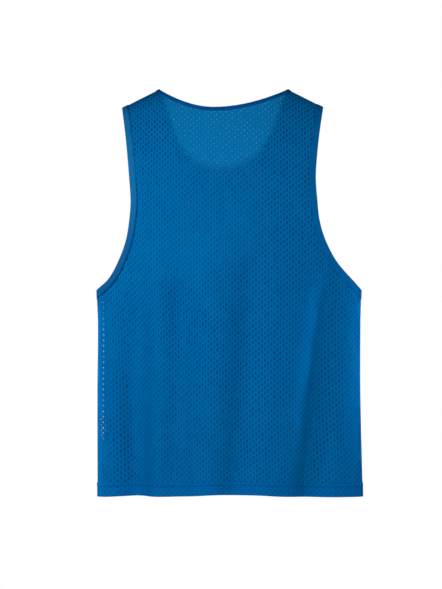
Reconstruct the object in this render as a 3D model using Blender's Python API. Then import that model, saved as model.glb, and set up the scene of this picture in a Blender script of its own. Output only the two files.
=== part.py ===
"""A training bib: a sleeveless mesh shirt, hollow and open, in the shape it has when worn.

Two mesh panels meet at the shoulder seams and the side seams. A folded strip binds the neck,
a doubled band finishes each armhole, and the lower edge is turned up into a hem.

Metres, +Z up. The back of the bib is at -Y, its front at +Y, and -X is the wearer's left.
The origin is where the wearer's shoulders and neck hold it: midway between the two points
where the neck meets the shoulder seams. A drop is a distance down from there.
"""
import math

import bmesh
import bpy
from mathutils import Vector

# Cloth
PANEL_THICKNESS = 0.0012
BAND_THICKNESS = 0.0018
SEAM_GAP = 0.0003

# Neck and shoulders
NECK_HALF_WIDTH = 0.1090
SHOULDER_SLOPE = 0.505
RIDGE_ROUNDING = 0.100
SHOULDER_DEPTH = 0.170
BACK_NECK_DROP = 0.0320
BACK_NECK_LOW_X = -0.0160
BACK_NECK_FULLNESS = 0.86
SCOOP_DROP = 0.1380
SCOOP_LOW_X = -0.0070
SCOOP_SIDE_HANDLE = (0.0820, 0.0550)
SCOOP_BASE_HANDLE = 0.0800
BINDING_WIDTH = 0.0070

# Armholes
SHOULDER_DROP = 0.0310
ARMPIT_DROP = 0.3410
ARMHOLE_BAND_WIDTH = 0.0120
ARMPIT_SLANT = 1.41

# Body and hem
LENGTH = 0.6920
HEM_WIDTH = 0.0240
SIDE_FADE = 0.12

# The body's outline, level by level: the drop, the middle and half width between the side
# seams, and how far the cloth stands out to the front and to the back.
BODY_LEVELS = (
    # drop, middle, half_width, half_depth
    (0.000, 0.0087, 0.2242, 0.0770),
    (0.341, 0.0087, 0.2242, 0.0770),
    (0.400, 0.0083, 0.2228, 0.0770),
    (0.520, 0.0082, 0.2218, 0.0790),
    (0.692, 0.0110, 0.2240, 0.0830),
)

# The open edge of each armhole: how far in from the side seam's line it lies at each drop.
ARMHOLE_LEVELS = (
    # drop, left_inset, right_inset
    (0.031, 0.0440, 0.0655),
    (0.070, 0.0485, 0.0711),
    (0.105, 0.0520, 0.0745),
    (0.150, 0.0550, 0.0775),
    (0.190, 0.0573, 0.0755),
    (0.223, 0.0553, 0.0707),
    (0.257, 0.0500, 0.0605),
    (0.291, 0.0380, 0.0415),
    (0.324, 0.0180, 0.0150),
    (0.341, 0.0000, 0.0000),
)

# The largest folds, soft troughs that deepen towards the hem. Side is -1 on the back.
FOLDS = (
    # side, top_drop, top_x, hem_x, half_width, depth
    (-1, 0.270, -0.146, -0.152, 0.030, 0.0120),
    (-1, 0.260, -0.092, -0.084, 0.030, 0.0080),
    (-1, 0.240, 0.048, 0.010, 0.025, 0.0070),
    (-1, 0.230, 0.204, 0.158, 0.025, 0.0090),
    (1, 0.330, -0.176, -0.150, 0.027, 0.0070),
    (1, 0.400, -0.052, -0.036, 0.029, 0.0060),
    (1, 0.300, 0.062, 0.086, 0.026, 0.0080),
    (1, 0.420, 0.165, 0.178, 0.022, 0.0050),
)

# How finely the cloth is divided
SHOULDER_COLUMNS = 5
NECK_COLUMNS = 26
COLUMNS = NECK_COLUMNS + 2 * SHOULDER_COLUMNS
CHEST_ROWS = 15
BODY_ROWS = 9

MESH_BLUE = (0.004, 0.100, 0.305, 1.0)
BAND_BLUE = (0.003, 0.085, 0.275, 1.0)
BINDING_BLUE = (0.002, 0.076, 0.265, 1.0)


def soft_step(value):
    """0 up to 0 and 1 from 1, turning smoothly in between."""
    value = min(1.0, max(0.0, value))
    return value * value * (3 - 2 * value)


def mix(a, b, share):
    return a + (b - a) * share


def read_level(levels, column, drop):
    """One column of a table at any drop, on a smooth curve through its rows."""
    rows = [(row[0], row[column]) for row in levels]
    drop = min(max(drop, rows[0][0]), rows[-1][0])
    k = max(i for i in range(len(rows) - 1) if rows[i][0] <= drop)
    (d0, v0), (d1, v1) = rows[k], rows[k + 1]
    chord = (v1 - v0) / (d1 - d0)
    before = chord
    after = chord
    if k > 0:
        before = (v1 - rows[k - 1][1]) / (d1 - rows[k - 1][0])
    if k + 2 < len(rows):
        after = (rows[k + 2][1] - v0) / (rows[k + 2][0] - d0)
    span = d1 - d0
    s = (drop - d0) / span
    return (
        v0 * (1 + 2 * s) * (1 - s) ** 2
        + before * span * s * (1 - s) ** 2
        + v1 * s * s * (3 - 2 * s)
        - after * span * s * s * (1 - s)
    )


def body_level(drop):
    """Middle, half width and half depth of the body at a drop."""
    return tuple(read_level(BODY_LEVELS, column, drop) for column in (1, 2, 3))


def side_edge(hand, drop):
    """x of a side seam; hand is -1 on the left and 1 on the right."""
    middle, half_width, _ = body_level(drop)
    return middle + hand * half_width


def ridge(x):
    """Height and slope of the shoulder line at x. It rounds over where the neck would be."""
    reach = abs(x)
    if reach >= RIDGE_ROUNDING:
        return SHOULDER_SLOPE * (NECK_HALF_WIDTH - reach), -math.copysign(SHOULDER_SLOPE, x)
    crown = SHOULDER_SLOPE * (NECK_HALF_WIDTH - RIDGE_ROUNDING / 2)
    return crown - SHOULDER_SLOPE * x * x / (2 * RIDGE_ROUNDING), -SHOULDER_SLOPE * x / RIDGE_ROUNDING


def fold_depth(x, drop, side):
    """How far the folds sink into the cloth at a point."""
    total = 0.0
    for fold_side, top_drop, top_x, hem_x, half_width, depth in FOLDS:
        if fold_side == side:
            share = (drop - top_drop) / (LENGTH - top_drop)
            away = (x - mix(top_x, hem_x, share)) / half_width
            total += depth * soft_step(share) * math.exp(-away * away)
    return total


def cloth(x, z, side, lift=0.0):
    """The point of the worn form at x and z, lifted outwards; side is -1 for the back.

    Across, the form is half an ellipse. Up the body it is straight, and over the shoulders
    it closes on the ridge as another quarter of an ellipse.
    """
    middle, half_width, half_depth = body_level(-z)
    u = min(1.0, max(-1.0, (x - middle) / half_width))
    height, slope = ridge(x)
    fall = min(1.0, max(0.0, (height - z) / SHOULDER_DEPTH))
    across = 1 - u * u
    over = 1 - (1 - fall) ** 2
    y = side * half_depth * math.sqrt(across * over)
    closing = across * 2 * (1 - fall) / SHOULDER_DEPTH
    normal = Vector((2 * u / half_width * over - closing * slope, 2 * y / half_depth**2, closing))
    normal.normalize()
    fade = soft_step((1 - abs(u)) / SIDE_FADE)
    return Vector((x, y, z)) + normal * (lift - fade * fold_depth(x, -z, side))


def neck_point(side, share, grow):
    """x and z on the neck's edge from left (share 0) to right (share 1), grown into the cloth.

    The back neck is a shallow dip. The front neck is a scoop: each half is one smooth curve
    that leaves the shoulder towards its side handle and reaches the base from its base handle.
    """
    hand = -1 if share < 0.5 else 1
    inward = 1 - abs(2 * share - 1)
    run = (inward + 1 - math.cos(math.pi / 2 * inward)) / 2
    along = 1 / math.hypot(1, SHOULDER_SLOPE)
    tip_x = NECK_HALF_WIDTH + grow * along
    tip_z = -grow * along * SHOULDER_SLOPE
    if side < 0:
        dip = math.sin(math.pi / 2 * run) ** BACK_NECK_FULLNESS
        return mix(hand * tip_x, BACK_NECK_LOW_X, run), mix(tip_z, -BACK_NECK_DROP - grow, dip)
    side_x, side_drop = SCOOP_SIDE_HANDLE
    low_z = -SCOOP_DROP - grow
    weights = ((1 - run) ** 3, 3 * run * (1 - run) ** 2, 3 * run**2 * (1 - run), run**3)
    across = (tip_x, side_x + grow, SCOOP_BASE_HANDLE + grow, 0.0)
    down = (tip_z, -side_drop, low_z, low_z)
    x = hand * sum(w * v for w, v in zip(weights, across)) + SCOOP_LOW_X * run**2
    return x, sum(w * v for w, v in zip(weights, down))


def armhole_edge(hand, share):
    """x and z on an armhole's open edge, from the armpit (share 0) to the shoulder (share 1)."""
    drop = mix(ARMPIT_DROP, SHOULDER_DROP, share)
    inset = read_level(ARMHOLE_LEVELS, 1 if hand < 0 else 2, drop)
    return side_edge(hand, drop) - hand * inset, -drop


def armhole_point(hand, share, grow):
    """The same edge grown into the cloth: down the side seam and up along the shoulder seam."""
    x, z = armhole_edge(hand, share)
    if share <= 0:
        drop = ARMPIT_DROP + ARMPIT_SLANT * grow
        return side_edge(hand, drop), -drop
    if share >= 1:
        x -= hand * grow / math.hypot(1, SHOULDER_SLOPE)
        return x, ridge(x)[0]
    step = 0.01
    x0, z0 = armhole_edge(hand, max(0.0, share - step))
    x1, z1 = armhole_edge(hand, min(1.0, share + step))
    square = Vector((-hand * (z1 - z0), hand * (x1 - x0))).normalized()
    seam = Vector((-hand, SHOULDER_SLOPE)).normalized()
    way = square.lerp(seam, max(0.0, share - 0.9) / 0.1)
    way = way.lerp(Vector((0, -ARMPIT_SLANT)), max(0.0, 0.1 - share) / 0.1)
    return x + way.x * grow, z + way.y * grow


def row_share(row):
    """Rows up the armhole stand closer together at the armpit and at the shoulder."""
    even = row / CHEST_ROWS
    return mix(even, (1 - math.cos(math.pi * even)) / 2, 0.75)


def level_point(column, drop):
    """x and z across the body at one level; columns close up where the sides turn away."""
    q = 2 * column / COLUMNS - 1
    angle = math.pi / 2 * (0.75 * q + 0.25 * q * abs(q))
    middle, half_width, _ = body_level(drop)
    return middle + half_width * math.sin(angle), -drop


def top_point(side, column):
    """x and z along a panel's top edge: shoulder seam, neck seam, shoulder seam."""
    neck_grow = BINDING_WIDTH + SEAM_GAP
    if column < SHOULDER_COLUMNS or column > SHOULDER_COLUMNS + NECK_COLUMNS:
        hand = -1 if column < SHOULDER_COLUMNS else 1
        share = min(column, COLUMNS - column) / SHOULDER_COLUMNS
        outer_x, _ = armhole_point(hand, 1, ARMHOLE_BAND_WIDTH + SEAM_GAP)
        inner_x, _ = neck_point(side, (1 + hand) / 2, neck_grow)
        x = mix(outer_x, inner_x, share)
        return x, ridge(x)[0]
    return neck_point(side, (column - SHOULDER_COLUMNS) / NECK_COLUMNS, neck_grow)


def chest_point(side, column, row):
    """x and z in a panel above the armpits: armpit level and top edge mixed, and the mixed
    row then stretched to reach both armholes."""
    up = row_share(row)
    grow = ARMHOLE_BAND_WIDTH + SEAM_GAP
    low_drop = ARMPIT_DROP + ARMPIT_SLANT * grow
    first, here, last = (
        [mix(low, top, up) for low, top in zip(level_point(k, low_drop), top_point(side, k))]
        for k in (0, column, COLUMNS)
    )
    left_x, left_z = armhole_point(-1, up, grow)
    right_x, right_z = armhole_point(1, up, grow)
    across = (here[0] - first[0]) / (last[0] - first[0])
    z = here[1] + mix(left_z - first[1], right_z - last[1], across)
    return mix(left_x, right_x, across), z


def panel_rows(side):
    """A panel's rows of x and z, from its hem seam up to its shoulders."""
    hem_drop = LENGTH - HEM_WIDTH - SEAM_GAP
    armpit_drop = ARMPIT_DROP + ARMPIT_SLANT * (ARMHOLE_BAND_WIDTH + SEAM_GAP)
    rows = []
    for row in range(BODY_ROWS):
        drop = mix(hem_drop, armpit_drop, row / BODY_ROWS)
        rows.append([level_point(column, drop) for column in range(COLUMNS + 1)])
    for row in range(CHEST_ROWS + 1):
        rows.append([chest_point(side, column, row) for column in range(COLUMNS + 1)])
    return rows


def make_material(name, colour, roughness):
    material = bpy.data.materials.new(name)
    material.use_nodes = True
    shader = material.node_tree.nodes["Principled BSDF"]
    shader.inputs["Base Color"].default_value = colour
    shader.inputs["Roughness"].default_value = roughness
    shader.inputs["Metallic"].default_value = 0.0
    material.diffuse_color = colour
    return material


def finish_piece(name, bm, material):
    """Points the faces outwards, shades the cloth smooth and puts the piece in the scene."""
    bmesh.ops.recalc_face_normals(bm, faces=bm.faces)
    mesh = bpy.data.meshes.new(name)
    bm.to_mesh(mesh)
    bm.free()
    mesh.shade_smooth()
    mesh.set_sharp_from_angle(angle=math.radians(50))
    mesh.materials.append(material)
    piece = bpy.data.objects.new(name, mesh)
    bpy.context.scene.collection.objects.link(piece)
    return piece


def make_panel(name, side, material):
    """A wall of cloth: an outer and an inner skin on the same rows, closed round the edge."""
    rows = panel_rows(side)
    seam = Vector((0, side * SEAM_GAP / 2, 0))
    bm = bmesh.new()
    skins = []
    for lift in (PANEL_THICKNESS / 2, -PANEL_THICKNESS / 2):
        skins.append([[bm.verts.new(cloth(x, z, side, lift) + seam) for x, z in row] for row in rows])
    for skin in skins:
        for low, high in zip(skin, skin[1:]):
            for k in range(COLUMNS):
                bm.faces.new((low[k], low[k + 1], high[k + 1], high[k]))
    border = [edge for edge in bm.edges if edge.is_boundary]
    bmesh.ops.bridge_loops(bm, edges=border)
    return finish_piece(name, bm, material)


def make_ring(name, stations, material):
    """A closed band of cloth; each station is its outer edge and its seam edge on the form."""
    half = BAND_THICKNESS / 2
    bm = bmesh.new()
    sections = []
    for side, edge, seam in stations:
        corners = ((edge, half), (seam, half), (seam, -half), (edge, -half))
        sections.append([bm.verts.new(cloth(*point, side, lift)) for point, lift in corners])
    for a, b in zip(sections, sections[1:] + sections[:1]):
        for k in range(4):
            n = (k + 1) % 4
            bm.faces.new((a[k], b[k], b[n], a[n]))
    return finish_piece(name, bm, material)


def neck_stations():
    """Round the neck: across the back from left to right, and back across the front."""
    shares = [(-1, k / NECK_COLUMNS) for k in range(NECK_COLUMNS)]
    shares += [(1, 1 - k / NECK_COLUMNS) for k in range(NECK_COLUMNS)]
    return [(s, neck_point(s, share, 0), neck_point(s, share, BINDING_WIDTH)) for s, share in shares]


def armhole_stations(hand):
    """Round an armhole: up its back edge from the armpit, and down its front edge."""
    shares = [(-1, row_share(row)) for row in range(CHEST_ROWS)]
    shares += [(1, row_share(row)) for row in range(CHEST_ROWS, 0, -1)]
    width = ARMHOLE_BAND_WIDTH
    return [(s, armhole_point(hand, up, 0), armhole_point(hand, up, width)) for s, up in shares]


def hem_stations():
    """Round the lower edge: across the back from left to right, and back across the front."""
    turns = [(-1, column) for column in range(COLUMNS)]
    turns += [(1, column) for column in range(COLUMNS, 0, -1)]
    top = LENGTH - HEM_WIDTH
    return [(s, level_point(column, LENGTH), level_point(column, top)) for s, column in turns]


for old in list(bpy.data.objects):
    bpy.data.objects.remove(old)

mesh_cloth = make_material("mesh_cloth", MESH_BLUE, 0.62)
band_cloth = make_material("band_cloth", BAND_BLUE, 0.66)
binding_cloth = make_material("binding_cloth", BINDING_BLUE, 0.60)

make_panel("back_panel", -1, mesh_cloth)
make_panel("front_panel", 1, mesh_cloth)
make_ring("neck_binding", neck_stations(), binding_cloth)
make_ring("armhole_band_left", armhole_stations(-1), band_cloth)
make_ring("armhole_band_right", armhole_stations(1), band_cloth)
make_ring("hem_band", hem_stations(), band_cloth)
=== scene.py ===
import bisect
import math
import random

import bmesh
import bpy
from mathutils import Matrix, Vector, noise


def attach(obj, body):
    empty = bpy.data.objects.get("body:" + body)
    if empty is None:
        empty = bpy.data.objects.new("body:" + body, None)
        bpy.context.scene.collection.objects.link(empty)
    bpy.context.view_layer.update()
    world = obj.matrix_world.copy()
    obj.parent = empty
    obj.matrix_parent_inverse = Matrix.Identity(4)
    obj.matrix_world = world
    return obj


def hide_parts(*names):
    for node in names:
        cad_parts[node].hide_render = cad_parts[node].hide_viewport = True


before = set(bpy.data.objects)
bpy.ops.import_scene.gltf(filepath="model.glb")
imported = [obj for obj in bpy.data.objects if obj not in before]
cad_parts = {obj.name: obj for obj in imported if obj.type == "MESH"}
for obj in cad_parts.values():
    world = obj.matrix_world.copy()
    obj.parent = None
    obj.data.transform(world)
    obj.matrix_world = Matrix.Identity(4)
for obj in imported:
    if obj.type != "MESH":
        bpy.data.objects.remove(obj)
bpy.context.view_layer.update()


# The camera: it looks at the bib's back, level and square on, through a long lens from a few
# metres away, as such a garment is shown in a shop.
CAMERA_X = -0.00425
CAMERA_HEIGHT = -0.3489
CAMERA_AWAY = 8.0
VIEW_HEIGHT = 1.0013  # of what the picture takes in, at the bib
SENSOR = 36.0  # in millimetres

lens = bpy.data.cameras.new("camera")
lens.sensor_width = SENSOR
lens.lens = SENSOR * CAMERA_AWAY / VIEW_HEIGHT
camera = bpy.data.objects.new("camera", lens)
camera.location = (CAMERA_X, -CAMERA_AWAY, CAMERA_HEIGHT)
camera.rotation_euler = (math.pi / 2, 0, 0)
bpy.context.scene.collection.objects.link(camera)
bpy.context.scene.camera = camera


# The two mesh panels, back and front: warp-knitted polyester with columns of small holes, cut
# flat to one outline except at the neck, and sewn together at the shoulders and the sides.
# Worn, they stand as a half ellipse round the body and close over the shoulders.
NECK_HALF_WIDTH = 0.1090
SHOULDER_SLOPE = 0.505
# The shoulder line goes on across the open neck, rounded over within this half width.
RIDGE_ROUNDING = 0.100
# How far below the shoulder line the cloth comes to stand straight down.
SHOULDER_DEPTH = 0.170
BACK_NECK_DROP = 0.0320
BACK_NECK_LOW_X = -0.0160
BACK_NECK_FULLNESS = 0.86
SCOOP_DROP = 0.1380
SCOOP_LOW_X = -0.0070
SCOOP_SIDE_HANDLE = (0.0820, 0.0550)
SCOOP_BASE_HANDLE = 0.0800
BINDING_WIDTH = 0.0070
SHOULDER_DROP = 0.0310
ARMPIT_DROP = 0.3410
ARMPIT_SLANT = 1.41
ARMHOLE_BAND_WIDTH = 0.0120
LENGTH = 0.6920
HEM_WIDTH = 0.0240
# Folds fade out over this share of the half width towards each side seam.
SIDE_FADE = 0.12

# All drops are measured down from the shoulder line beside the neck.
BODY_LEVELS = (
    # drop, middle, half_width, half_depth
    (0.000, 0.0094, 0.2249, 0.0770),
    (0.341, 0.0094, 0.2249, 0.0770),
    (0.400, 0.0097, 0.2234, 0.0770),
    (0.520, 0.0092, 0.2238, 0.0790),
    (0.692, 0.0114, 0.2257, 0.0830),
)
ARMHOLE_LEVELS = (
    # drop, left_inset, right_inset
    (0.031, 0.0431, 0.0648),
    (0.070, 0.0483, 0.0711),
    (0.105, 0.0521, 0.0753),
    (0.150, 0.0560, 0.0785),
    (0.190, 0.0586, 0.0759),
    (0.223, 0.0564, 0.0722),
    (0.257, 0.0506, 0.0619),
    (0.291, 0.0376, 0.0430),
    (0.324, 0.0189, 0.0154),
    (0.341, 0.0000, 0.0000),
)
# The hanging folds, from where each starts down to the hem; side is -1 for the back.
FOLDS = (
    # side, top_drop, top_x, hem_x, half_width, depth
    (-1, 0.270, -0.146, -0.150, 0.032, 0.0140),
    (-1, 0.260, -0.074, -0.088, 0.030, 0.0080),
    (-1, 0.240, 0.052, 0.020, 0.030, 0.0080),
    (-1, 0.230, 0.192, 0.140, 0.026, 0.0110),
    (1, 0.330, -0.176, -0.150, 0.027, 0.0070),
    (1, 0.400, -0.052, -0.036, 0.029, 0.0060),
    (1, 0.300, 0.062, 0.086, 0.026, 0.0080),
    (1, 0.420, 0.165, 0.178, 0.022, 0.0050),
)
# Creases, each a soft line from one point to another: small pulls at the armholes, and long
# valleys that deepen the back's hanging folds and run on past the hem.
CREASES = (
    # side, x0, drop0, x1, drop1, half_width, depth
    (-1, -0.122, 0.040, -0.108, 0.150, 0.0190, 0.0035),
    (-1, -0.125, 0.235, -0.098, 0.165, 0.0090, 0.0012),
    (-1, 0.104, 0.185, 0.155, 0.262, 0.0100, 0.0014),
    (-1, -0.151, 0.340, -0.155, 0.900, 0.0310, 0.0210),
    (-1, -0.070, 0.300, -0.086, 0.800, 0.0280, 0.0160),
    (-1, 0.048, 0.300, 0.018, 0.780, 0.0280, 0.0110),
    (-1, 0.178, 0.320, 0.146, 0.720, 0.0250, 0.0140),
    (-1, -0.173, 0.470, -0.165, 0.900, 0.0150, 0.0100),
    (1, -0.110, 0.250, -0.070, 0.200, 0.0100, 0.0014),
    (1, 0.125, 0.190, 0.160, 0.270, 0.0090, 0.0013),
    (1, 0.010, 0.210, 0.035, 0.300, 0.0120, 0.0016),
)
# A crease fades in and out over the length divided by this, half of it past each end.
CREASE_ENDS = 3
# Where the lower edge rides up a little, from a drop just above the hem down.
HEM_RISES = (
    # side, x, half_width, rise
    (-1, -0.160, 0.030, 0.0018),
    (-1, -0.012, 0.040, 0.0020),
    (-1, 0.020, 0.125, 0.0032),
    (-1, 0.056, 0.030, 0.0014),
    (1, -0.120, 0.040, 0.0020),
    (1, 0.050, 0.030, 0.0026),
    (1, 0.170, 0.030, 0.0014),
)
HEM_RISE_FROM = 0.600

# The knit: from column to column and from hole to hole in one, how much the ribs between them
# weave from side to side, and how high they stand.
WALE = 0.00503
COURSE = 0.00927
CELL_WAIST = 0.00045
RIB_RISE = 0.00008
# Each cell's dimple and the hole in its floor, as shares of the cell's width and height, then how far
# they sink and how dark their painted shade is.
DIMPLE = {-1: (0.30, 0.42), 1: (0.30, 0.42)}
HOLE = {-1: (0.039, 0.061), 1: (0.024, 0.038)}
DIMPLE_SINK = 0.00022
HOLE_SINK = 0.00048
DIMPLE_PAINTED_SHADE = 0.92
HOLE_PAINTED_SHADE = 1.0
# No two cells are quite alike in size, nor in how dark their painted shade is.
CELL_SIZES = (0.90, 1.10)
CELL_PAINTED_SHADES = (0.74, 1.00)
# A cell that the cut leaves smaller than this share of a whole one isn't pierced.
PIERCED_FROM = 0.85
# Beside the left side seam the cloth is pulled, and its holes stand open: how far in from the
# seam, how far to each side of that, where this spreads out, and where it ends.
OPEN_AWAY = {-1: 0.0290, 1: 0.0250}
OPEN_REACH = 0.0042
OPEN_SPREAD_DROP = 0.572
OPEN_SPREAD_REACH = 0.020
OPEN_SPREAD_MORE = 1.1
OPEN_DOWN_TO = 0.585
OPEN_FADE = 0.03
OPEN_DIMPLE = {-1: (0.42, 0.60), 1: (0.64, 0.82)}
OPEN_HOLE = {-1: (0.22, 0.34), 1: (0.50, 0.68)}
# Painted shade on the mesh just below the neck binding: how dark it is, and how far it reaches.
NECK_PAINTED_SHADE = 0.56
NECK_PAINTED_SHADE_REACH = 0.0042
# How the flat cloth hangs: pulled to one side, its rows sloping, and bowed at the back's top.
# Over the shoulders this share of the longer way round is eased in.
CLOTH_PULL = {-1: 0.05, 1: -0.051}
ROW_SLOPE = {-1: 0.096, 1: -0.0486}
ROW_BOW = 0.34
ROW_BOW_FROM = 0.05
ROW_BOW_FADE = 0.35
RIDGE_EASE = 0.4
# The shallow groove along the shoulder and side seams.
SEAM_VALLEY = 0.0003
SEAM_VALLEY_REACH = 0.002
# A corner of the outline that turns more than this, in radians, is kept sharp.
CORNER_TURN = 0.35

MESH_BLUE = (0.0006, 0.169, 0.446, 1.0)
# The colour that painted shade darkens the cloth towards, in the mesh's dimples and hollows and just
# below the neck binding.
PAINTED_SHADE_BLUE = (0.0002, 0.012, 0.165, 1.0)
THROUGH_BLUE = (0.0100, 0.300, 0.620, 1.0)
# Where no second layer hangs behind the back, its hollows let this many times more light through.
BARE_GAIN = 2.7


def soft_step(value):
    """0 up to 0 and 1 from 1, turning smoothly in between."""
    value = min(1.0, max(0.0, value))
    return value * value * (3 - 2 * value)


def mix(a, b, share):
    return a + (b - a) * share


def swell(away):
    """1 at 0, falling off softly on both sides to almost nothing at 2."""
    return math.exp(-away * away)


def read_level(levels, column, drop):
    """One column of a table at any drop, on a smooth curve through its rows."""
    rows = [(row[0], row[column]) for row in levels]
    drop = min(max(drop, rows[0][0]), rows[-1][0])
    k = max(i for i in range(len(rows) - 1) if rows[i][0] <= drop)
    (d0, v0), (d1, v1) = rows[k], rows[k + 1]
    chord = (v1 - v0) / (d1 - d0)
    before = chord
    after = chord
    if k > 0:
        before = (v1 - rows[k - 1][1]) / (d1 - rows[k - 1][0])
    if k + 2 < len(rows):
        after = (rows[k + 2][1] - v0) / (rows[k + 2][0] - d0)
    span = d1 - d0
    run = (drop - d0) / span
    return (
        v0 * (1 + 2 * run) * (1 - run) ** 2
        + before * span * run * (1 - run) ** 2
        + v1 * run * run * (3 - 2 * run)
        - after * span * run * run * (1 - run)
    )


LEVEL_STEP = 0.002
LEVEL_COUNT = 360
LEVELS = [
    [read_level(BODY_LEVELS, column, LEVEL_STEP * k) for column in (1, 2, 3)]
    for k in range(LEVEL_COUNT)
]


def body_level(drop):
    """Middle, half width and half depth of the body at a drop."""
    place = min(max(drop / LEVEL_STEP, 0.0), LEVEL_COUNT - 1.001)
    k = int(place)
    return [mix(a, b, place - k) for a, b in zip(LEVELS[k], LEVELS[k + 1])]


def side_edge(hand, drop):
    """x of a side seam; hand is -1 on the left and 1 on the right."""
    middle, half_width, _ = body_level(drop)
    return middle + hand * half_width


def ridge(x):
    """Height and slope of the shoulder line at x. It rounds over where the neck would be."""
    reach = abs(x)
    if reach >= RIDGE_ROUNDING:
        return SHOULDER_SLOPE * (NECK_HALF_WIDTH - reach), -math.copysign(SHOULDER_SLOPE, x)
    crown = SHOULDER_SLOPE * (NECK_HALF_WIDTH - RIDGE_ROUNDING / 2)
    return crown - SHOULDER_SLOPE * x * x / (2 * RIDGE_ROUNDING), -SHOULDER_SLOPE * x / RIDGE_ROUNDING


def fold_depth(x, drop, side):
    """How far the folds and creases sink into the cloth at a point."""
    total = 0.0
    for fold_side, top_drop, top_x, hem_x, half_width, depth in FOLDS:
        if fold_side == side and drop > top_drop:
            share = (drop - top_drop) / (LENGTH - top_drop)
            away = (x - mix(top_x, hem_x, share)) / half_width
            total += depth * soft_step(share) * swell(away)
    for crease_side, x0, drop0, x1, drop1, half_width, depth in CREASES:
        if crease_side == side:
            run_x, run_drop = x1 - x0, drop1 - drop0
            long = math.hypot(run_x, run_drop)
            along = ((x - x0) * run_x + (drop - drop0) * run_drop) / long
            away = ((x - x0) * run_drop - (drop - drop0) * run_x) / long / half_width
            start = soft_step(along / long * CREASE_ENDS + 0.5)
            end = soft_step((1 - along / long) * CREASE_ENDS + 0.5)
            total += depth * start * end * swell(away)
    return total


def hem_rise(x, drop, side):
    """How far the lower edge rides up, fading out above the hem."""
    total = 0.0
    if drop > HEM_RISE_FROM:
        for rise_side, middle, half_width, rise in HEM_RISES:
            if rise_side == side:
                total += rise * swell((x - middle) / half_width)
        total *= soft_step((drop - HEM_RISE_FROM) / (LENGTH - HEM_RISE_FROM))
    return total


def cloth(x, z, side, lift=0.0):
    """The point of the worn form at x and z, lifted outwards; side is -1 for the back."""
    middle, half_width, half_depth = body_level(-z)
    outward = min(1.0, max(-1.0, (x - middle) / half_width))
    height, slope = ridge(x)
    fall = min(1.0, max(0.0, (height - z) / SHOULDER_DEPTH))
    across = 1 - outward * outward
    over = 1 - (1 - fall) ** 2
    y = side * half_depth * math.sqrt(across * over)
    closing = across * 2 * (1 - fall) / SHOULDER_DEPTH
    sideways = 2 * outward / half_width * over - closing * slope
    normal = Vector((sideways, 2 * y / half_depth**2, closing))
    normal.normalize()
    fade = soft_step((1 - abs(outward)) / SIDE_FADE)
    point = Vector((x, y, z + fade * hem_rise(x, -z, side)))
    return point + normal * (lift - fade * fold_depth(x, -z, side))


def neck_point(side, share, grow):
    """x and z on the neck's edge from left (share 0) to right (share 1), grown into the cloth."""
    hand = -1 if share < 0.5 else 1
    inward = 1 - abs(2 * share - 1)
    run = (inward + 1 - math.cos(math.pi / 2 * inward)) / 2
    along = 1 / math.hypot(1, SHOULDER_SLOPE)
    tip_x = NECK_HALF_WIDTH + grow * along
    tip_z = -grow * along * SHOULDER_SLOPE
    if side < 0:
        dip = math.sin(math.pi / 2 * run) ** BACK_NECK_FULLNESS
        return mix(hand * tip_x, BACK_NECK_LOW_X, run), mix(tip_z, -BACK_NECK_DROP - grow, dip)
    side_x, side_drop = SCOOP_SIDE_HANDLE
    low_z = -SCOOP_DROP - grow
    weights = ((1 - run) ** 3, 3 * run * (1 - run) ** 2, 3 * run**2 * (1 - run), run**3)
    across = (tip_x, side_x + grow, SCOOP_BASE_HANDLE + grow, 0.0)
    down = (tip_z, -side_drop, low_z, low_z)
    x = hand * sum(w * v for w, v in zip(weights, across)) + SCOOP_LOW_X * run**2
    return x, sum(w * v for w, v in zip(weights, down))


def armhole_edge(hand, share):
    """x and z on an armhole's open edge, from the armpit (share 0) to the shoulder (share 1)."""
    drop = mix(ARMPIT_DROP, SHOULDER_DROP, share)
    inset = read_level(ARMHOLE_LEVELS, 1 if hand < 0 else 2, drop)
    return side_edge(hand, drop) - hand * inset, -drop


# The step to each side that gives the edge's direction, and the shares of its length in which
# the grown edge turns to follow the seam at each end, and to meet the shoulder line at the top.
ARMHOLE_STEP = 0.01
SEAM_SHARE = 0.1
RIDGE_SHARE = 0.2


def armhole_point(hand, share, grow):
    """The same edge grown into the cloth: down the side seam and up along the shoulder seam."""
    x, z = armhole_edge(hand, share)
    if share <= 0:
        drop = ARMPIT_DROP + ARMPIT_SLANT * grow
        return side_edge(hand, drop), -drop
    x0, z0 = armhole_edge(hand, max(0.0, share - ARMHOLE_STEP))
    x1, z1 = armhole_edge(hand, min(1.0, share + ARMHOLE_STEP))
    square = Vector((-hand * (z1 - z0), hand * (x1 - x0))).normalized()
    seam = Vector((-hand, SHOULDER_SLOPE)).normalized()
    way = square.lerp(seam, max(0.0, share - (1 - SEAM_SHARE)) / SEAM_SHARE)
    way = way.lerp(Vector((0, -ARMPIT_SLANT)), max(0.0, SEAM_SHARE - share) / SEAM_SHARE)
    x, z = x + way.x * grow, z + way.y * grow
    top_x = armhole_edge(hand, 1)[0] - hand * grow / math.hypot(1, SHOULDER_SLOPE)
    top_z = -SHOULDER_DROP + seam.y * grow
    return x, z + soft_step((share - (1 - RIDGE_SHARE)) / RIDGE_SHARE) * (ridge(top_x)[0] - top_z)


def quarter_turn(wide, sharp_painted_shade, steps=240):
    """Angles round a quarter of an ellipse from its flat top, and the lengths run to them."""
    angles = [math.pi / 2 * k / steps for k in range(steps + 1)]
    runs = [0.0]
    for a, b in zip(angles, angles[1:]):
        half = (a + b) / 2
        runs.append(runs[-1] + math.hypot(wide * math.cos(half), sharp_painted_shade * math.sin(half)) * (b - a))
    return angles, runs


def read_pairs(given, wanted, value):
    """The wanted list's value where the rising given list holds value."""
    k = min(max(bisect.bisect_right(given, value) - 1, 0), len(given) - 2)
    return mix(wanted[k], wanted[k + 1], (value - given[k]) / (given[k + 1] - given[k]))


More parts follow.
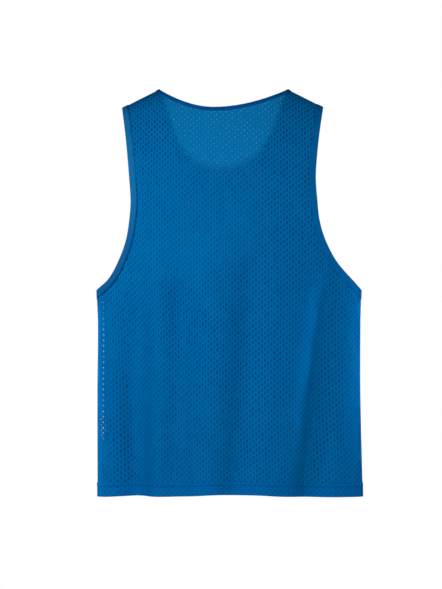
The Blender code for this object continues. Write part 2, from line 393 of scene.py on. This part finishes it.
# Cut flat, half a panel is as wide as the cloth from the middle of the back round to the seam.
ROUND_ANGLES, ROUND_RUNS = quarter_turn(*body_level(ARMPIT_DROP)[1:])
FLAT_HALF = ROUND_RUNS[-1]

# Up over the shoulder the cloth runs further than it rises; falls and their flat lengths.
OVER_ANGLES, OVER_RUNS = quarter_turn(body_level(0)[2], SHOULDER_DEPTH)
FALLS = [SHOULDER_DEPTH * (1 - math.cos(angle)) for angle in OVER_ANGLES]
FALL_RUNS = [
    fall - RIDGE_EASE * (OVER_RUNS[-1] - run - (SHOULDER_DEPTH - fall))
    for fall, run in zip(FALLS, OVER_RUNS)
]


def flat_from_worn(side, x, z):
    """Where a point of the worn form lies on the flat cloth: across from its middle, and down."""
    middle, half_width, _ = body_level(-z)
    outward = min(1.0, max(-1.0, (x - middle) / half_width))
    run = read_pairs(ROUND_ANGLES, ROUND_RUNS, math.asin(abs(outward)))
    pulled = math.copysign(run, outward) / FLAT_HALF
    pull = CLOTH_PULL[side]
    share = (math.sqrt(1 + 4 * pull * (pulled + pull)) - 1) / (2 * pull)
    height = ridge(x)[0]
    fall = height - z
    if fall < SHOULDER_DEPTH:
        fall = read_pairs(FALLS, FALL_RUNS, max(0.0, fall))
    return share * FLAT_HALF, fall - height


def outward_at(share):
    """How far out from the middle, up to 1 at a side seam, a share of the flat half width lies."""
    return math.copysign(math.sin(read_pairs(ROUND_RUNS, ROUND_ANGLES, abs(share) * FLAT_HALF)), share)


def worn_from_flat(side, across, down):
    """The reverse: x and z on the worn form of a point of the flat cloth."""
    share = min(1.0, max(-1.0, across / FLAT_HALF))
    outward = outward_at(share + CLOTH_PULL[side] * (share * share - 1))
    drop = down
    for _ in range(2):
        middle, half_width, _ = body_level(drop)
        x = middle + half_width * outward
        height = ridge(x)[0]
        fall = down + height
        if fall < SHOULDER_DEPTH:
            fall = read_pairs(FALL_RUNS, FALLS, max(FALL_RUNS[0], fall))
        drop = fall - height
    return x, -drop


NECK_STEPS = 60
SIDE_STEPS = 12
ARMHOLE_STEPS = 50
SHOULDER_STEPS = 8


def neck_line(side, grow):
    """Points x and z along the neck's edge, from left to right."""
    return [neck_point(side, k / NECK_STEPS, grow) for k in range(NECK_STEPS + 1)]


def panel_outline(side):
    """Round a panel's cut edge on the flat cloth: half way into each band that holds it."""
    band = ARMHOLE_BAND_WIDTH / 2
    low = LENGTH - HEM_WIDTH / 2
    high = ARMPIT_DROP + ARMPIT_SLANT * band
    drops = [mix(low, high, k / SIDE_STEPS) for k in range(SIDE_STEPS)]
    neck = neck_line(side, BINDING_WIDTH / 2)
    rows = []
    for hand, neck_end in ((-1, neck[0]), (1, neck[-1])):
        edge = [(side_edge(hand, drop), -drop) for drop in drops]
        edge += [armhole_point(hand, k / ARMHOLE_STEPS, band) for k in range(ARMHOLE_STEPS + 1)]
        shoulder_end = edge[-1][0]
        for k in range(1, SHOULDER_STEPS):
            x = mix(shoulder_end, neck_end[0], k / SHOULDER_STEPS)
            edge.append((x, ridge(x)[0]))
        rows.append(edge)
    flat = [flat_from_worn(side, x, z) for x, z in rows[0] + neck + rows[1][::-1]]
    return [Vector((across, -down)) for across, down in flat]


def inside(loop, point):
    """Whether a point lies within a closed outline."""
    found = False
    for a, b in zip(loop, loop[1:] + loop[:1]):
        if (a.y > point.y) != (b.y > point.y):
            if point.x < a.x + (b.x - a.x) * (point.y - a.y) / (b.y - a.y):
                found = not found
    return found


def nearest(loop, point):
    """The point of a closed outline that lies nearest."""
    best, best_away = None, 1e9
    for a, b in zip(loop, loop[1:] + loop[:1]):
        run = b - a
        here = a + run * min(1.0, max(0.0, (point - a).dot(run) / run.length_squared))
        away = (point - here).length_squared
        if away < best_away:
            best, best_away = here, away
    return best


def set_on_body(bm, name, finish, nodes):
    """Puts a finished piece in the scene: smooth, with its material, on the bib's one body."""
    mesh = bpy.data.meshes.new(name)
    bm.to_mesh(mesh)
    bm.free()
    mesh.shade_smooth()
    mesh.materials.append(finish)
    piece = bpy.data.objects.new(name, mesh)
    bpy.context.scene.collection.objects.link(piece)
    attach(piece, "root")
    if nodes:
        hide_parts(*nodes)
    return piece


# The blank's spare cells round the outline, the length up to which an edge is merged, and how
# far in each new ring starts before it is brought to its size.
SPARE_COLUMNS = 4
SPARE_ROWS = 3
SHORTEST_EDGE = 0.0002
RING_INSET = 0.0001


def knit_panel(name, node, side, finish, seed):
    """A blank of six-sided cells, cut to its outline, each cell sunk to a dimple and pierced.
    The first of its attributes is painted shade: darker the deeper in its dimple the cloth lies, and
    just below the neck binding. The attribute bare is 1 where the front's scoop leaves the back with
    no layer behind it."""
    draw = random.Random(seed)
    loop = panel_outline(side)
    loop_high = max(point.y for point in loop)
    loop_low = min(point.y for point in loop)
    columns = 2 * math.ceil(FLAT_HALF / WALE) + SPARE_COLUMNS
    high = loop_high + SPARE_ROWS * COURSE
    halves = 2 * math.ceil((high - loop_low + SPARE_ROWS * COURSE) / COURSE)
    bm = bmesh.new()
    painted_shade = bm.verts.layers.float.new("painted_shade")
    bare = bm.verts.layers.float.new("bare")
    lift = bm.verts.layers.float.new("lift")
    bmesh.ops.create_grid(bm, x_segments=columns, y_segments=halves, size=0.5)
    # With every other rung taken out, brick fashion, the grid's squares become six-sided cells.
    rungs = []
    for edge in bm.edges:
        a, b = (v.co for v in edge.verts)
        row = round((a.y + 0.5) * halves)
        if abs(a.y - b.y) < 1e-6 and 0 < row < halves:
            if (round((min(a.x, b.x) + 0.5) * columns) + row) % 2:
                rungs.append(edge)
    bmesh.ops.dissolve_edges(bm, edges=rungs, use_verts=False)
    # The blank at its real size, with its rows sloped and bowed.
    for v in bm.verts:
        column = round((v.co.x + 0.5) * columns)
        row = round((v.co.y + 0.5) * halves)
        waist = CELL_WAIST if (column + row) % 2 == 0 else -CELL_WAIST
        across = (column - columns / 2) * WALE + waist
        down = (halves - row) * COURSE / 2 - high
        bow = ROW_BOW * across * across / 2 * (1 - soft_step((down - ROW_BOW_FROM) / ROW_BOW_FADE))
        v.co = (across, -down - ROW_SLOPE[side] * across - (bow if side < 0 else 0), 0)
    # Cells outside the outline go, and those that lie across it are drawn in to it.
    out = {v for v in bm.verts if not inside(loop, v.co.xy)}
    spare = [face for face in bm.faces if all(v in out for v in face.verts)]
    bmesh.ops.delete(bm, geom=spare, context="FACES")
    rim = [v for v in bm.verts if v in out]
    for v in rim:
        v.co.xy = nearest(loop, v.co.xy)
    for a, b, c in zip(loop[-1:] + loop[:-1], loop, loop[1:] + loop[:1]):
        if (b - a).angle(c - b) > CORNER_TURN:
            min(rim, key=lambda v: (v.co.xy - b).length).co.xy = b
    bmesh.ops.dissolve_degenerate(bm, edges=bm.edges[:], dist=SHORTEST_EDGE)
    cells = bm.faces[:]
    pierced = [cell for cell in cells if cell.calc_area() > PIERCED_FROM * WALE * COURSE]
    for v in bm.verts:
        v[lift] = RIB_RISE
    # Each cell gets two rings, its dimple's and its hole's, and then loses its middle.
    rings = (
        (DIMPLE[side], OPEN_DIMPLE[side], DIMPLE_SINK, DIMPLE_PAINTED_SHADE),
        (HOLE[side], OPEN_HOLE[side], HOLE_SINK, HOLE_PAINTED_SHADE),
    )
    last_sizes = {cell: (1.0, 1.0) for cell in cells}
    for plain_size, open_size, sink, shade in rings:
        bmesh.ops.inset_individual(bm, faces=cells, thickness=RING_INSET)
        for cell in cells:
            middle = cell.calc_center_median()
            spread = swell((-middle.y - OPEN_SPREAD_DROP) / OPEN_SPREAD_REACH)
            reach = OPEN_REACH * (1 + OPEN_SPREAD_MORE * spread)
            openness = swell((middle.x + FLAT_HALF - OPEN_AWAY[side]) / reach)
            openness *= 1 - soft_step((-middle.y - OPEN_DOWN_TO) / OPEN_FADE)
            loose = draw.uniform(*CELL_SIZES)
            # Each ring sinks, a real dimple, and is also painted darker: painted shade in the dimple
            # and round its hole, a little different in each cell.
            painted_cell_shade = shade * draw.uniform(*CELL_PAINTED_SHADES)
            size = [mix(a, b, openness) * loose for a, b in zip(plain_size, open_size)]
            last_size = last_sizes[cell]
            for v in cell.verts:
                for axis in (0, 1):
                    out_by = v.co[axis] - middle[axis]
                    v.co[axis] = middle[axis] + out_by * size[axis] / last_size[axis]
                v[lift] = -sink
                v[painted_shade] = painted_cell_shade
            last_sizes[cell] = size
    bmesh.ops.delete(bm, geom=pierced, context="FACES_ONLY")
    sheet = bm.loops.layers.uv.new("cloth")
    for face in bm.faces:
        for corner in face.loops:
            corner[sheet].uv = corner.vert.co.xy
    # The flat cloth is put on the worn form.
    neck = [Vector(point) for point in neck_line(side, BINDING_WIDTH)]
    neck_low = min(point.y for point in neck) - 3 * NECK_PAINTED_SHADE_REACH
    scoop = [Vector(point) for point in neck_line(1, 0.0)]
    for v in bm.verts:
        across, down = v.co.x, -v.co.y
        x, z = worn_from_flat(side, across, down)
        here = Vector((x, z))
        # Painted shade on the mesh along the neck binding's lower edge.
        if abs(x) < neck[-1].x and z > neck_low:
            away = min((point - here).length for point in neck)
            v[painted_shade] = max(v[painted_shade], NECK_PAINTED_SHADE * swell(away / NECK_PAINTED_SHADE_REACH))
        if side < 0 and z > -SCOOP_DROP and inside(scoop, here):
            v[bare] = 1.0
        seam_away = max(0.0, min(FLAT_HALF - abs(across), ridge(x)[0] - z))
        v.co = cloth(x, z, side, v[lift] - SEAM_VALLEY * swell(seam_away / SEAM_VALLEY_REACH))
    if side > 0:
        bmesh.ops.reverse_faces(bm, faces=bm.faces[:])
    piece = set_on_body(bm, name, finish, [node])
    flat = (2 * FLAT_HALF, loop_high - loop_low)
    return piece


class Finish:
    """The nodes of a material, or of the surround. node() adds any node and gives one of its
    outputs as a Value."""

    def __init__(self, owner):
        owner.use_nodes = True
        self.owner = owner
        self.tree = owner.node_tree
        self.tree.nodes.clear()

    def node(self, kind, settings=(), sockets=(), output=0):
        made = self.tree.nodes.new(kind)
        for name, value in dict(settings).items():
            setattr(made, name, value)
        for name, value in dict(sockets).items():
            if isinstance(value, Value):
                self.tree.links.new(value.socket, made.inputs[name])
            else:
                made.inputs[name].default_value = value
        return Value(self, made.outputs[output]) if made.outputs else None

    def blend(self, share, first, second):
        """A colour between two others."""
        sockets = {0: share, 6: first, 7: second}
        return self.node("ShaderNodeMix", {"data_type": "RGBA"}, sockets, output=2)


class Value:
    """One output in a material; arithmetic on it adds Math nodes."""

    def __init__(self, finish, socket):
        self.finish = finish
        self.socket = socket

    def math(self, operation, *others):
        sockets = enumerate((self, *others))
        return self.finish.node("ShaderNodeMath", {"operation": operation}, sockets)

    def __add__(self, other):
        return self.math("ADD", other)

    __radd__ = __add__

    def __mul__(self, other):
        return self.math("MULTIPLY", other)

    __rmul__ = __mul__

    def __sub__(self, other):
        return self.math("SUBTRACT", other)

    def __rsub__(self, other):
        return self * -1 + other


# The mesh's loops, the slant of a loop's arms, how much of the relief is the rib and not the
# loops on it, and how high and rough the relief is.
LOOP_WIDTH = 0.00084
LOOP_HEIGHT = 0.00060
CHEVRON_SLANT = 2.4
RIB_SHARE = 0.6
LOOP_RELIEF = 0.00012
LOOP_RELIEF_STRENGTH = 0.35
FIBRE_RELIEF = 0.3
# How much the painted shade, the uneven dye and the single fibres change the cloth's colour.
PAINTED_SHADE_SHARE = 0.95
CLOUD_SHARE = 0.16
CLOUD_SCALE = 14.0
FIBRE_SHARE = 0.12
FIBRE_SCALE = 900.0
# Matt, with a soft blue sheen.
ROUGHNESS = 0.56
ROUGHNESS_CHANGE = 0.12
SHEEN = 0.14
SHEEN_ROUGHNESS = 0.30
SHEEN_BLUE = (0.0, 0.40, 0.85, 1.0)
# Painted dark dots, painted shade standing in for hollows that a second layer backs: how near the
# middle of one its dot starts, and how much the rows of dots slope.
DOT_FROM = 0.35
DOT_SLOPE = 0.05


def knit_loops(across, down, width, height):
    """The relief of knitted loops: ribs of chevrons, from 0 to 1."""
    rib = ((across * (1 / width)).math("FRACT") - 0.5).math("ABSOLUTE") * 2
    loops = (down * (2 * math.pi / height) + rib * CHEVRON_SLANT).math("SINE") * 0.5 + 0.5
    return (1 - rib * rib) * RIB_SHARE + loops * (1 - RIB_SHARE)


def cloth_finish(name, top, low, behind, through, loops, painted_groove_shade=0.0, painted_dots=0.0):
    """Knitted polyester. top colours its ribs and low is the painted shade it turns to in its dimples
    and painted lines, behind colours the light that comes through, and through is how much does so
    anywhere, and how much more in a dimple. loops is the loops' width and height; then how dark the
    painted shade between the loops is, and how dark the painted dots are, painted shade for hollows
    that a second layer backs."""
    finish = Finish(bpy.data.materials.new(name))
    uv = finish.node("ShaderNodeUVMap", {"uv_map": "cloth"})
    across = finish.node("ShaderNodeSeparateXYZ", (), {0: uv}, output=0)
    down = finish.node("ShaderNodeSeparateXYZ", (), {0: uv}, output=1)
    painted_shade = finish.node("ShaderNodeAttribute", {"attribute_name": "painted_shade"}, output=2)
    bare = finish.node("ShaderNodeAttribute", {"attribute_name": "bare"}, output=2)
    place = finish.node("ShaderNodeTexCoord", output=3)
    cloud_sockets = {"Vector": place, "Scale": CLOUD_SCALE, "Detail": 3.0}
    cloud = finish.node("ShaderNodeTexNoise", (), cloud_sockets)
    fibre_sockets = {"Vector": place, "Scale": FIBRE_SCALE, "Detail": 1.0}
    fibre = finish.node("ShaderNodeTexNoise", (), fibre_sockets)
    relief = knit_loops(across, down, *loops)
    # The painted shade from the attribute, sharpened. With the uneven dye, the fibres, the painted
    # shade between the loops and the painted dots, it turns the colour towards the low one.
    sharp_painted_shade = painted_shade * painted_shade
    shade = sharp_painted_shade * PAINTED_SHADE_SHARE + (cloud - 0.5) * CLOUD_SHARE + (fibre - 0.5) * FIBRE_SHARE
    shade = shade + (1 - relief) * painted_groove_shade
    if painted_dots:
        sloped = down + across * DOT_SLOPE
        staggered = (across * (math.pi / WALE)).math("COSINE")
        staggered = staggered * (sloped * (2 * math.pi / COURSE)).math("COSINE")
        shade = shade + (staggered - DOT_FROM).math("MAXIMUM", 0.0) * painted_dots
    colour = finish.blend(shade.math("MAXIMUM", 0.0), top, low)
    bump = finish.node(
        "ShaderNodeBump",
        (),
        {
            "Strength": LOOP_RELIEF_STRENGTH,
            "Distance": LOOP_RELIEF,
            "Height": relief + fibre * FIBRE_RELIEF,
        },
    )
    front = finish.node(
        "ShaderNodeBsdfPrincipled",
        (),
        {
            "Base Color": colour,
            "Roughness": ROUGHNESS + cloud * ROUGHNESS_CHANGE,
            "Specular IOR Level": 0.0,
            "Sheen Weight": SHEEN,
            "Sheen Roughness": SHEEN_ROUGHNESS,
            "Sheen Tint": SHEEN_BLUE,
            "Normal": bump,
        },
    )
    lit_through = finish.node("ShaderNodeBsdfTranslucent", (), {"Color": behind})
    thin = sharp_painted_shade * through[1] * (bare * BARE_GAIN + 1) + through[0]
    both = finish.node("ShaderNodeMixShader", (), {0: thin, 1: front, 2: lit_through})
    finish.node("ShaderNodeOutputMaterial", (), {"Surface": both})
    return finish.owner


mesh_finish = cloth_finish(
    "mesh_cloth",
    top=MESH_BLUE,
    low=PAINTED_SHADE_BLUE,
    behind=THROUGH_BLUE,
    through=(0.09, 0.20),
    loops=(LOOP_WIDTH, LOOP_HEIGHT),
    painted_groove_shade=0.06,
)
back_cloth = knit_panel("back_cloth", "back_panel", -1, mesh_finish, seed=11)
front_cloth = knit_panel("front_cloth", "front_panel", 1, mesh_finish, seed=12)


# The neck binding: a strip of plain knit, folded in two over the raw neck edge all round and
# sewn through. It is denser than the mesh, and so darker.
BINDING_LEAF = 0.00075
BINDING_STITCH = 0.0056
BINDING_BLUE = (0.0006, 0.092, 0.325, 1.0)
# The colour of the binding's painted shade at its fold, furrow and edge.
BINDING_SHADE_BLUE = (0.0003, 0.044, 0.180, 1.0)

# Any folded strip: its rounded fold and its stitched furrow, as shares of a leaf's thickness,
# how wide the furrow and the rise beyond it are, and how deep and wide its inner edge dips.
FOLD_ROUNDING = 1.6
FURROW_SINK = 0.62
FURROW_REACH = 0.0006
BEYOND_REACH = 0.0012
EDGE_DIP = 0.86
EDGE_REACH = 0.0009
# The strip's painted shades: how wide each is, and how far in from its inner edge the last one lies.
SHADE_REACH = 0.0008
EDGE_SHADE_INSET = 0.0005
# Its rows crowd towards the fold, and its puckers are about this many to a metre.
ROW_CROWDING = 1.25
PUCKER_SCALE = 160


def strip_height(from_fold, width, leaf, stitch, ridge_rise):
    """How high one leaf of a folded strip stands at a distance from its fold: a round fold, a
    flat leaf, a furrow at the stitches and an edge that dips to the cloth it holds."""
    fold = FOLD_ROUNDING * leaf
    rise = leaf * math.sqrt(1 - (1 - min(from_fold, fold) / fold) ** 2)
    furrow = FURROW_SINK * leaf * swell((from_fold - stitch) / FURROW_REACH)
    edge = soft_step((from_fold - width + EDGE_REACH) / EDGE_REACH)
    beyond = ridge_rise * soft_step((from_fold - stitch) / BEYOND_REACH)
    return (rise - furrow + beyond) * (1 - EDGE_DIP * edge)


def folded_strip(name, node, finish, route, sizes, painted_shades, counts, pucker, flat, painted_light=None):
    """A strip folded over an edge. route gives side, x and z at a share of the way round and a
    distance from the fold; the strip is a grid, once round and from seam over fold to seam.
    sizes are its width folded, its leaf's thickness, where it is stitched and how much higher it
    stands beyond, and counts its steps round and across one leaf. The painted shades are how dark it
    is painted at the fold, in the stitched furrow and at its inner edge, where shade falls. The
    painted light, where given, is the drop where it is painted palest, how far that reaches, and how
    dark the rest is painted."""
    width, leaf, stitch, ridge_rise = sizes
    shade_places = (0.0, stitch, width - EDGE_SHADE_INSET)
    bm = bmesh.new()
    painted_shade = bm.verts.layers.float.new("painted_shade")
    bmesh.ops.create_grid(bm, x_segments=counts[0], y_segments=2 * counts[1], size=0.5)
    sheet = bm.loops.layers.uv.new("cloth")
    for face in bm.faces:
        for corner in face.loops:
            place = corner.vert.co
            from_fold = width * (2 * abs(place.y)) ** ROW_CROWDING
            corner[sheet].uv = ((place.x + 0.5) * flat[0], math.copysign(from_fold, place.y))
    for v in bm.verts:
        around, leaf_side = v.co.x + 0.5, math.copysign(1, v.co.y)
        from_fold = width * (2 * abs(v.co.y)) ** ROW_CROWDING
        side, x, z = route(around % 1.0, from_fold)
        wrinkle = noise.noise(cloth(x, z, side) * PUCKER_SCALE) * soft_step(from_fold / leaf)
        high = strip_height(from_fold, width, leaf, stitch, ridge_rise) + pucker * wrinkle
        # Painted shade at the fold, in the stitched furrow and at the inner edge.
        v[painted_shade] = sum(
            shade * swell((from_fold - place) / SHADE_REACH)
            for shade, place in zip(painted_shades, shade_places)
        )
        # Painted light: palest about one drop, and painted darker away from it.
        if painted_light:
            palest_drop, palest_reach, rest_shade = painted_light
            v[painted_shade] += rest_shade * (1 - swell((-z - palest_drop) / palest_reach))
        v.co = cloth(x, z, side, leaf_side * high)
    bmesh.ops.remove_doubles(bm, verts=bm.verts[:], dist=0.00001)
    outer = max(bm.faces, key=lambda face: face.calc_center_median().y)
    if outer.normal.y < 0:
        bmesh.ops.reverse_faces(bm, faces=bm.faces[:])
    piece = set_on_body(bm, name, finish, [node])


def length_round(route, from_edge, steps=400):
    """How long the way is on the worn form, once round a route."""
    points = []
    for k in range(steps + 1):
        side, x, z = route(k / steps % 1.0, from_edge)
        points.append(cloth(x, z, side))
    return sum((b - a).length for a, b in zip(points, points[1:]))


STITCH_LENGTH = 0.0022
STITCH_PITCH = 0.0030
STITCH_THICK = 0.00038
STITCH_LIFT = 0.0005
THREAD_BLUE = (0.0014, 0.130, 0.400, 1.0)


def stitch_line(name, route, from_edge):
    """Lockstitches along a route: short rounded threads lying in the furrow, on each leaf."""
    count = round(length_round(route, from_edge) / STITCH_PITCH)
    bm = bmesh.new()
    for lift in (STITCH_LIFT, -STITCH_LIFT):
        for k in range(count):
            ends = []
            for part in (-0.5, 0.5):
                share = (k + part * STITCH_LENGTH / STITCH_PITCH) / count % 1.0
                side, x, z = route(share, from_edge)
                ends.append(cloth(x, z, side, lift))
            way = ends[1] - ends[0]
            turn = way.to_track_quat("X", "Z").to_matrix().to_4x4()
            place = Matrix.Translation((ends[0] + ends[1]) / 2)
            size = Matrix.Diagonal((way.length / 2, STITCH_THICK / 2, STITCH_THICK / 2, 1))
            bmesh.ops.create_icosphere(bm, subdivisions=1, radius=1, matrix=place @ turn @ size)
    bm.loops.layers.uv.new("cloth")
    set_on_body(bm, name, thread_finish, [])


def neck_route(around, from_edge):
    """Across the back from left to right, and back across the front."""
    if around < 0.5:
        return -1, *neck_point(-1, 2 * around, from_edge)
    return 1, *neck_point(1, 2 - 2 * around, from_edge)


binding_finish = cloth_finish(
    "binding_cloth",
    top=BINDING_BLUE,
    low=BINDING_SHADE_BLUE,
    behind=BINDING_BLUE,
    through=(0.12, 0.0),
    loops=(0.0011, 0.0008),
)
thread_finish = cloth_finish(
    "sewing_thread",
    top=THREAD_BLUE,
    low=THREAD_BLUE,
    behind=THREAD_BLUE,
    through=(0.0, 0.0),
    loops=(0.0006, 0.0004),
)
folded_strip(
    "neck_strip",
    "neck_binding",
    binding_finish,
    neck_route,
    sizes=(BINDING_WIDTH, BINDING_LEAF, BINDING_STITCH, 0.0),
    painted_shades=(0.20, 0.30, 0.20),
    counts=(300, 16),
    pucker=0.00012,
    flat=(length_round(neck_route, 0.0), 2 * BINDING_WIDTH),
)
stitch_line("neck_stitches", neck_route, BINDING_STITCH)


# The armhole bands: a strip of plain knit doubled over each armhole's edge and topstitched near
# its inner edge. It is ribbed across, and it puckers a little between the stitches.
BAND_LEAF = 0.00070
BAND_STITCH = 0.0100
BAND_BLUE = (0.0008, 0.168, 0.490, 1.0)
# The left band's paler blue is painted light.
LEFT_BAND_PAINTED_LIGHT_BLUE = (0.0080, 0.215, 0.540, 1.0)
# The colour of the bands' painted shade at the fold, furrow and inner edge, and between the ribs.
BAND_SHADE_BLUE = (0.0005, 0.040, 0.160, 1.0)


def armhole_route(hand):
    """Round one armhole: up its back edge from the armpit, and down its front edge."""

    def route(around, from_edge):
        side = -1 if around < 0.5 else 1
        share = 2 * around if around < 0.5 else 2 - 2 * around
        return side, *armhole_point(hand, share, from_edge)

    return route


# The left band takes painted light, a painted palest stretch and darker painted lines; the right band,
# the same band, takes the plain blue and paler painted lines.
for hand, name, blue, painted_shades, painted_light in (
    (-1, "left", LEFT_BAND_PAINTED_LIGHT_BLUE, (0.60, 0.20, 0.76), (0.120, 0.110, 0.64)),
    (1, "right", BAND_BLUE, (0.40, 0.20, 0.50), None),
):
    band_finish = cloth_finish(
        f"{name}_armhole_cloth",
        top=blue,
        low=BAND_SHADE_BLUE,
        behind=blue,
        through=(0.22, 0.0),
        loops=(0.0027, 0.0012),
        painted_groove_shade=0.30,
    )
    band_route = armhole_route(hand)
    folded_strip(
        f"{name}_armhole_strip",
        f"armhole_band_{name}",
        band_finish,
        band_route,
        sizes=(ARMHOLE_BAND_WIDTH, BAND_LEAF, BAND_STITCH, 0.0),
        painted_shades=painted_shades,
        counts=(260, 22),
        pucker=0.00016,
        flat=(length_round(band_route, 0.0), 2 * ARMHOLE_BAND_WIDTH),
        painted_light=painted_light,
    )
    stitch_line(f"{name}_armhole_stitches", band_route, BAND_STITCH)


# The hem: the lower edge of the mesh itself, turned up inside all round and sewn down with one row of
# stitches near its top. Its hollows, backed by the inner layer, are painted on as dark dots: painted
# shade.
HEM_LEAF = 0.00055
HEM_STITCH = 0.0172
HEM_RIDGE = 0.00035
HEM_BLUE = (0.0008, 0.168, 0.500, 1.0)


def hem_route(around, from_edge):
    """Across the back from left to right, and back across the front."""
    side = -1 if around < 0.5 else 1
    share = 4 * around - 1 if around < 0.5 else 3 - 4 * around
    middle, half_width, _ = body_level(LENGTH - from_edge)
    return side, middle + half_width * outward_at(share), from_edge - LENGTH


hem_finish = cloth_finish(
    "hem_cloth",
    top=HEM_BLUE,
    low=PAINTED_SHADE_BLUE,
    behind=THROUGH_BLUE,
    through=(0.18, 0.0),
    loops=(LOOP_WIDTH, LOOP_HEIGHT),
    painted_groove_shade=0.06,
    painted_dots=0.90,
)
folded_strip(
    "hem_strip",
    "hem_band",
    hem_finish,
    hem_route,
    sizes=(HEM_WIDTH, HEM_LEAF, HEM_STITCH, HEM_RIDGE),
    painted_shades=(0.20, 0.75, 0.45),
    counts=(360, 30),
    pucker=0.00012,
    flat=(length_round(hem_route, 0.0), 2 * HEM_WIDTH),
)
stitch_line("hem_stitches", hem_route, HEM_STITCH)


# The plain pale floor, as far below as the floor is from worn shoulders, and the studio light:
# white walls all round, a soft lamp close by on the left, a larger one further off that fills
# in, a small one at each side for the edges, and one beyond that shines in at the front's neck.
FLOOR_HEIGHT = -1.45
FLOOR_REACH = 4.0
FLOOR_WHITE = (0.82, 0.82, 0.82, 1.0)
WALL_LIGHT = 0.15
LAMPS = (
    # name, turn, lift, distance, aim_height, size, spread, power
    ("left_lamp", 54, 3, 0.9, -0.34, 0.8, 180, 4.35),
    ("fill_lamp", -16, 8, 2.0, -0.24, 1.3, 180, 20.8),
    ("left_edge_lamp", 116, 0, 1.3, -0.52, 0.3, 32, 0.75),
    ("right_edge_lamp", -100, 0, 1.3, -0.44, 0.3, 26, 0.35),
    ("far_lamp", 180, 0, 3.0, -0.22, 0.35, 180, 58.0),
)

bm = bmesh.new()
bmesh.ops.create_circle(bm, cap_ends=True, segments=96, radius=FLOOR_REACH)
bmesh.ops.translate(bm, verts=bm.verts[:], vec=(0, 0, FLOOR_HEIGHT))
floor_mesh = bpy.data.meshes.new("floor")
bm.to_mesh(floor_mesh)
bm.free()
floor = bpy.data.objects.new("floor", floor_mesh)
bpy.context.scene.collection.objects.link(floor)
floor_paint = Finish(bpy.data.materials.new("floor_paint"))
matt = floor_paint.node(
    "ShaderNodeBsdfPrincipled", (), {"Base Color": FLOOR_WHITE, "Roughness": 0.9}
)
floor_paint.node("ShaderNodeOutputMaterial", (), {"Surface": matt})
floor_mesh.materials.append(floor_paint.owner)

for name, turn, lift, away, aim_height, size, spread, power in LAMPS:
    lamp = bpy.data.lights.new(name, "AREA")
    lamp.shape = "DISK"
    lamp.size = size
    lamp.spread = math.radians(spread)
    lamp.energy = power
    lamp_object = bpy.data.objects.new(name, lamp)
    turn, lift = math.radians(turn), math.radians(lift)
    towards = Vector((
        -math.sin(turn) * math.cos(lift),
        -math.cos(turn) * math.cos(lift),
        math.sin(lift),
    ))
    lamp_object.location = Vector((0, 0, aim_height)) + towards * away
    lamp_object.rotation_euler = towards.to_track_quat("Z", "Y").to_euler()
    lamp_object.visible_camera = False
    bpy.context.scene.collection.objects.link(lamp_object)

# The walls light the bib most from eye height and less from above and below, and the camera
# sees them plain white.
world = bpy.data.worlds.new("surround")
surround = Finish(world)
seen = surround.node("ShaderNodeLightPath", output=0)
way = surround.node("ShaderNodeTexCoord")
height = surround.node("ShaderNodeSeparateXYZ", (), {0: way}, output=2)
wall = (1 - height * height) * WALL_LIGHT
glow = surround.node(
    "ShaderNodeBackground",
    (),
    {"Color": (1.0, 1.0, 1.0, 1.0), "Strength": seen * (1 - wall) + wall},
)
surround.node("ShaderNodeOutputWorld", (), {"Surface": glow})
bpy.context.scene.world = world
bpy.context.scene.view_settings.view_transform = "Standard"
